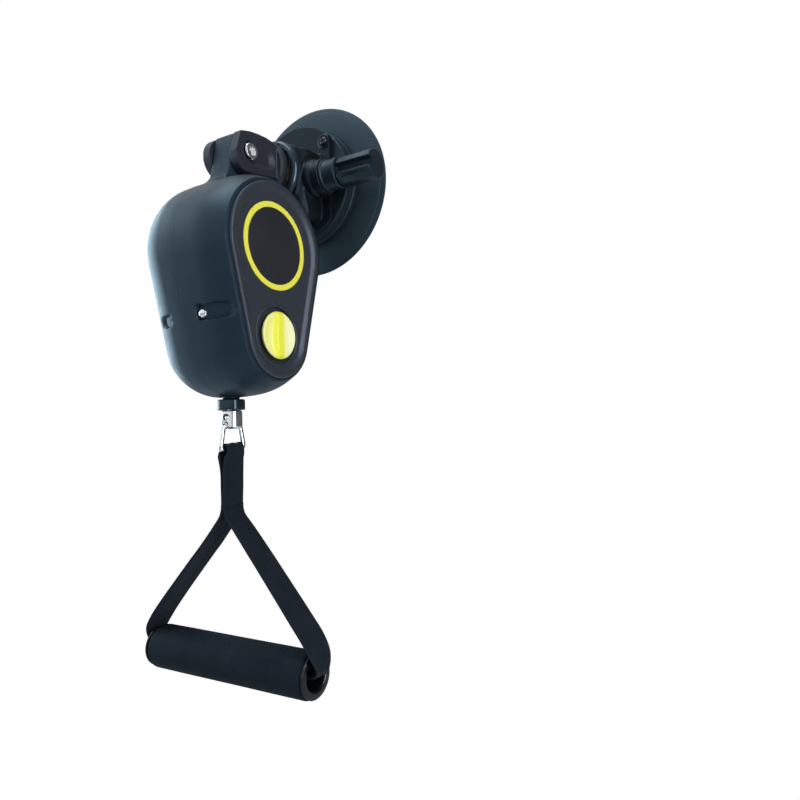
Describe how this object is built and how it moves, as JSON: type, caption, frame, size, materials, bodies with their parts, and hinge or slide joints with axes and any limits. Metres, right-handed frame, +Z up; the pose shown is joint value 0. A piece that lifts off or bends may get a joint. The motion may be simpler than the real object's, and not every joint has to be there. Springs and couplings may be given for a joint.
{
  "type": "rope trainer",
  "caption": "Wall-held rope trainer: suction cup with a locking lever, hinged yoke, housing with a braked rope drum and dial, swivel clip and a webbing handle",
  "frame": {"origin": "centre of the suction cup's wall face", "axes": "+Y into the wall, +Z up, +X toward the side panel with the dial; the unit stands out along -Y"},
  "size_m": [0.1787, 0.1651, 0.4734],
  "materials": {
    "cup_rubber": "satin moulded rubber",
    "black_plastic": "black, lightly textured",
    "housing_plastic": "blue-black, fine spark texture",
    "panel_plastic": "warm charcoal, fine grain",
    "yellow_plastic": "lemon yellow, satin gloss",
    "chrome_steel": "bright plating",
    "plain_steel": "turned or stamped, oiled",
    "bronze": "sintered bearing bronze",
    "friction_lining": "pressed lining, dull",
    "webbing": "flat woven webbing",
    "rope_braid": "round braid",
    "foam": "closed-cell foam, open skin"
  },
  "bodies": {
    "base": {"suction_cup": "cup_rubber", "cup_cover": "black_plastic", "bracket": "black_plastic", "lever_bush": "bronze", "flange_screw_1": "plain_steel", "flange_screw_2": "plain_steel", "flange_screw_3": "plain_steel", "flange_screw_4": "plain_steel", "swivel_collar": "black_plastic", "swivel_washer": "bronze", "swivel_bolt": "plain_steel"},
    "lever": {"cam_shaft": "plain_steel", "lever_sleeve": "black_plastic", "lever_handle": "panel_plastic"},
    "stud": {"pull_stud": "plain_steel"},
    "yoke": {"yoke": "panel_plastic", "pivot_bolt": "chrome_steel", "pivot_nut": "chrome_steel"},
    "housing": {"shell_near": "housing_plastic", "shell_far": "housing_plastic", "pivot_bush": "bronze", "side_panel": "panel_plastic", "badge_ring": "yellow_plastic", "badge_disc": "panel_plastic", "bearing_near": "bronze", "bearing_far": "bronze", "spring_case": "black_plastic", "return_spring": "plain_steel", "housing_screw_front": "chrome_steel", "housing_screw_rear": "chrome_steel", "outlet_bush": "black_plastic", "rope_run": "rope_braid"},
    "drum": {"drum": "black_plastic", "wound_rope": "rope_braid", "drum_axle": "plain_steel"},
    "knob": {"knob": "yellow_plastic", "knob_screw": "plain_steel"},
    "brake": {"brake_plate": "plain_steel", "brake_pad": "friction_lining"},
    "carriage": {"stop_collar": "black_plastic", "rope_lead": "rope_braid"},
    "swivel": {"swivel_block": "chrome_steel", "swivel_pin": "chrome_steel"},
    "ring": {"clip_ring": "chrome_steel"},
    "strap": {"webbing_strap": "webbing"},
    "grip": {"grip_tube": "black_plastic", "foam_grip": "foam", "grip_end_left": "black_plastic", "grip_end_right": "black_plastic"}
  },
  "joints": [
    {"name": "lock_lever", "type": "hinge", "parent": "base", "child": "lever", "pos_m": [0, -0.0375, -0.0045], "axis": [1, 0, 0], "range_deg": [0, 90]},
    {"name": "stud_pull", "type": "slide", "parent": "base", "child": "stud", "axis": [0, -1, 0], "range_m": [0, 0.004]},
    {"name": "yoke_swivel", "type": "hinge", "parent": "base", "child": "yoke", "pos_m": [0, -0.066, 0], "axis": [0, -1, 0], "continuous": true},
    {"name": "housing_pivot", "type": "hinge", "parent": "yoke", "child": "housing", "pos_m": [0, -0.102, 0], "axis": [-1, 0, 0], "range_deg": [0, 85]},
    {"name": "rope_pull", "type": "slide", "parent": "housing", "child": "carriage", "axis": [0, 0, -1], "range_m": [0, 1.5], "stiffness_N_per_m": 3, "springref_m": -3, "deforming": ["rope_lead"]},
    {"name": "drum_turn", "type": "hinge", "parent": "housing", "child": "drum", "pos_m": [0, -0.111, -0.08], "axis": [1, 0, 0], "range_deg": [-1, 3223]},
    {"name": "dial_turn", "type": "hinge", "parent": "housing", "child": "knob", "pos_m": [0, -0.111, -0.145], "axis": [-1, 0, 0], "range_deg": [0, 270]},
    {"name": "brake_feed", "type": "slide", "parent": "housing", "child": "brake", "axis": [-1, 0, 0], "range_m": [0, 0.0015]},
    {"name": "rope_swivel", "type": "hinge", "parent": "carriage", "child": "swivel", "pos_m": [0, -0.111, -0.2015], "axis": [0, 0, 1], "continuous": true},
    {"name": "ring_swing", "type": "hinge", "parent": "swivel", "child": "ring", "pos_m": [0, -0.111, -0.2092], "axis": [0, 1, 0], "range_deg": [-40, 40]},
    {"name": "strap_swing", "type": "hinge", "parent": "ring", "child": "strap", "pos_m": [0, -0.111, -0.225], "axis": [0, 1, 0], "range_deg": [-30, 30]},
    {"name": "grip_roll", "type": "hinge", "parent": "strap", "child": "grip", "pos_m": [-0.0035, -0.111, -0.382], "axis": [1, 0, 0], "continuous": true}
  ],
  "couplings": [
    {"joint": "lock_lever", "follows": "stud_pull", "rad_per_m": 392.7},
    {"joint": "drum_turn", "follows": "rope_pull", "rad_per_m": 37.383},
    {"joint": "dial_turn", "follows": "brake_feed", "rad_per_m": 3141.6}
  ]
}
